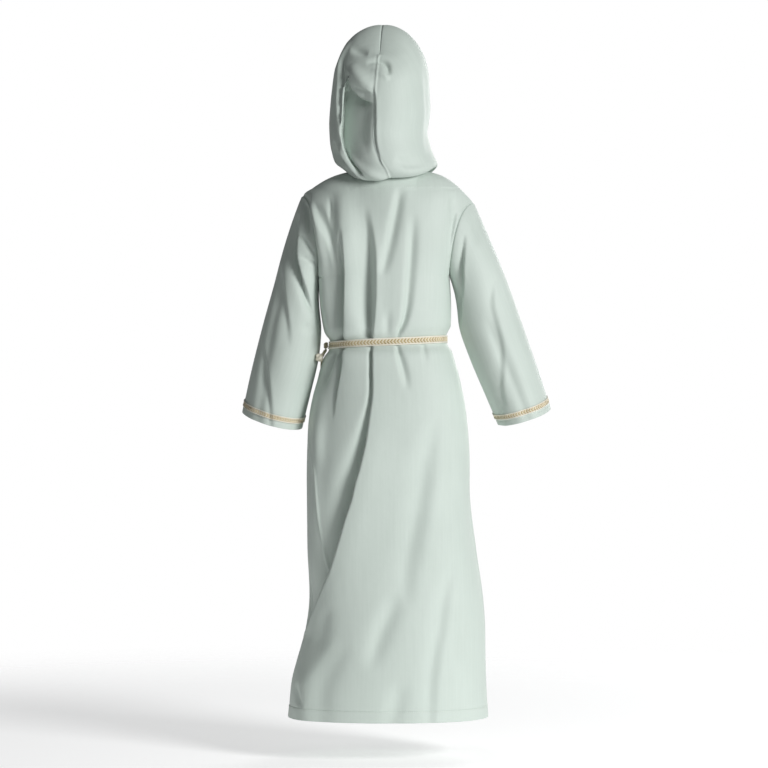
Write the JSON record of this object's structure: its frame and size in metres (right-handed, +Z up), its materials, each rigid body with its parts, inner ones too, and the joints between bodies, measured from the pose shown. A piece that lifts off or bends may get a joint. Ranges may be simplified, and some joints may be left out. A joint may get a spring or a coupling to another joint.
{
  "type": "hooded djellaba robe",
  "caption": "Child's full-length hooded robe with flared long sleeves, tied at the waist with a narrow braid belt, holding its worn hollow form",
  "frame": {"origin": "middle of the neck opening, level with the shoulders that carry the robe", "axes": "+Z up along the robe from hem to hood, -Y to the wearer's front where the hood opens, +X to the wearer's left"},
  "size_m": [0.54, 0.2437, 1.2072],
  "materials": {
    "robe_cloth": "pale sage-green thin woven polyester with a soft sheen",
    "gold_braid": "narrow woven braid, gold and cream, slightly metallic"
  },
  "bodies": {
    "root": {"back_panel": "robe_cloth", "front_panel": "robe_cloth", "sleeve_left": "robe_cloth", "sleeve_right": "robe_cloth", "hood_left": "robe_cloth", "hood_right": "robe_cloth", "cuff_braid_left": "gold_braid", "cuff_braid_right": "gold_braid", "belt_band": "gold_braid", "belt_knot": "gold_braid", "belt_end_short": "gold_braid", "belt_tip_short": "gold_braid", "belt_end_long": "gold_braid", "belt_tip_long": "gold_braid"}
  },
  "joints": []
}
